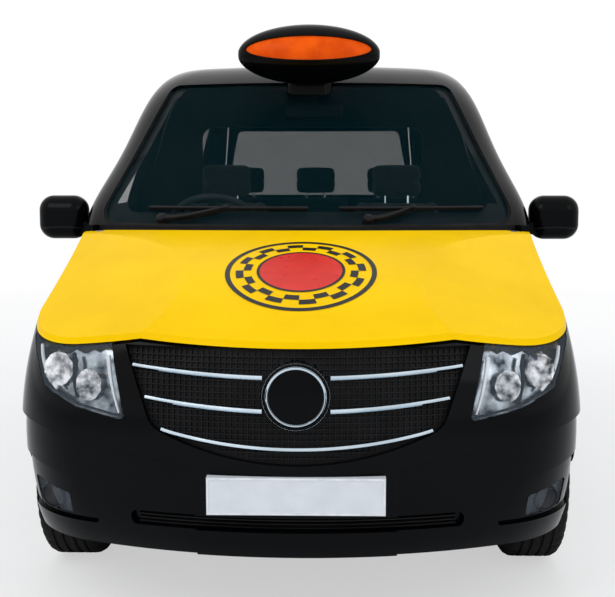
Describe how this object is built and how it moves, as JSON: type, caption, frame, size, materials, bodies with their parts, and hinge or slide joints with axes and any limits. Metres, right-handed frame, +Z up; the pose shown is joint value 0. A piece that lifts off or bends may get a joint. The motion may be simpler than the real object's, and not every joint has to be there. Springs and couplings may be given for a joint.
{
  "type": "taxi cab",
  "caption": "One-box taxi van, gloss black with a yellow bonnet and a blank orange roof sign; hinged front doors, bonnet and tailgate, steered front wheels, partitioned cabin",
  "frame": {"origin": "on the ground under the middle of the overall box", "axes": "+Z up, -Y the front, +X the vehicle's left, +Y along its length"},
  "size_m": [2.265, 5.14, 2.0499],
  "materials": {
    "black_paint": "gloss",
    "yellow_paint": "gloss",
    "clear_glass": "polished",
    "dark_glass": "polished",
    "chrome": "polished",
    "black_plastic": "matte",
    "gloss_black": "gloss",
    "orange_lens": "gloss",
    "lamp_clear": "polished",
    "lamp_red": "gloss",
    "plate_white": "satin",
    "seat_cloth": "woven",
    "steel": "brushed",
    "cast_iron": "rough",
    "alloy": "satin",
    "tyre": "rubber",
    "floor_mat": "matte"
  },
  "bodies": {
    "cab": {"sliding_doors": "black_paint", "body_sides": "black_paint", "front_wings": "black_paint", "front_bumper": "black_paint", "roof_panel": "black_paint", "rear_bumper": "black_paint", "windscreen": "clear_glass", "partition_glass": "clear_glass", "side_glass": "dark_glass", "grille_bars": "chrome", "grille_boss": "chrome", "grille": "black_plastic", "wipers": "black_plastic", "wheel_wells": "black_plastic", "cabin_mirror": "black_plastic", "dashboard": "black_plastic", "steering_wheel": "black_plastic", "partition": "black_plastic", "roof_sign": "gloss_black", "sign_lens": "orange_lens", "headlamps": "lamp_clear", "fog_lamps": "lamp_clear", "tail_lamps": "lamp_red", "front_plate": "plate_white", "front_seats": "seat_cloth", "rear_bench": "seat_cloth", "jump_seats": "seat_cloth", "firewall": "steel", "exhaust": "steel", "fuel_tank": "steel", "engine": "cast_iron", "front_subframe": "cast_iron", "rear_axle": "cast_iron", "chassis": "floor_mat"},
    "door_left": {"front_door_left": "black_paint", "front_door_glass_left": "clear_glass", "mirror_left": "gloss_black"},
    "door_right": {"front_door_right": "black_paint", "front_door_glass_right": "clear_glass", "mirror_right": "gloss_black"},
    "bonnet_lid": {"bonnet": "yellow_paint"},
    "tailgate_lid": {"tailgate": "black_paint", "tailgate_glass": "dark_glass", "rear_plate": "plate_white"},
    "steer_left": {"knuckle_left": "cast_iron"},
    "steer_right": {"knuckle_right": "cast_iron"},
    "wheel_front_left": {"tyre_front_left": "tyre", "rim_front_left": "alloy"},
    "wheel_front_right": {"tyre_front_right": "tyre", "rim_front_right": "alloy"},
    "wheel_rear_left": {"tyre_rear_left": "tyre", "rim_rear_left": "alloy"},
    "wheel_rear_right": {"tyre_rear_right": "tyre", "rim_rear_right": "alloy"}
  },
  "joints": [
    {"name": "door_left_hinge", "type": "hinge", "parent": "cab", "child": "door_left", "pos_m": [0.914, -1.21, 1], "axis": [0.0872, 0, -0.9962], "range_deg": [0, 65]},
    {"name": "door_right_hinge", "type": "hinge", "parent": "cab", "child": "door_right", "pos_m": [-0.914, -1.21, 1], "axis": [0.0872, 0, 0.9962], "range_deg": [0, 65]},
    {"name": "bonnet_hinge", "type": "hinge", "parent": "cab", "child": "bonnet_lid", "pos_m": [0, -1.33, 1.17], "axis": [-1, 0, 0], "range_deg": [0, 48]},
    {"name": "tailgate_hinge", "type": "hinge", "parent": "cab", "child": "tailgate_lid", "pos_m": [0, 2.385, 1.811], "axis": [1, 0, 0], "range_deg": [0, 80]},
    {"name": "steering_left", "type": "hinge", "parent": "cab", "child": "steer_left", "pos_m": [0.722, -1.675, 0.196], "axis": [-0.1843, 0, 0.9829], "range_deg": [-32, 32]},
    {"name": "steering_right", "type": "hinge", "parent": "cab", "child": "steer_right", "pos_m": [-0.722, -1.675, 0.196], "axis": [0.1843, 0, 0.9829], "range_deg": [-32, 32]},
    {"name": "wheel_front_left_spin", "type": "hinge", "parent": "steer_left", "child": "wheel_front_left", "pos_m": [0.82, -1.675, 0.336], "axis": [1, 0, 0], "continuous": true},
    {"name": "wheel_front_right_spin", "type": "hinge", "parent": "steer_right", "child": "wheel_front_right", "pos_m": [-0.82, -1.675, 0.336], "axis": [1, 0, 0], "continuous": true},
    {"name": "wheel_rear_left_spin", "type": "hinge", "parent": "cab", "child": "wheel_rear_left", "pos_m": [0.82, 1.525, 0.336], "axis": [1, 0, 0], "continuous": true},
    {"name": "wheel_rear_right_spin", "type": "hinge", "parent": "cab", "child": "wheel_rear_right", "pos_m": [-0.82, 1.525, 0.336], "axis": [1, 0, 0], "continuous": true}
  ],
  "couplings": [
    {"joint": "steering_right", "follows": "steering_left", "ratio": 1}
  ]
}
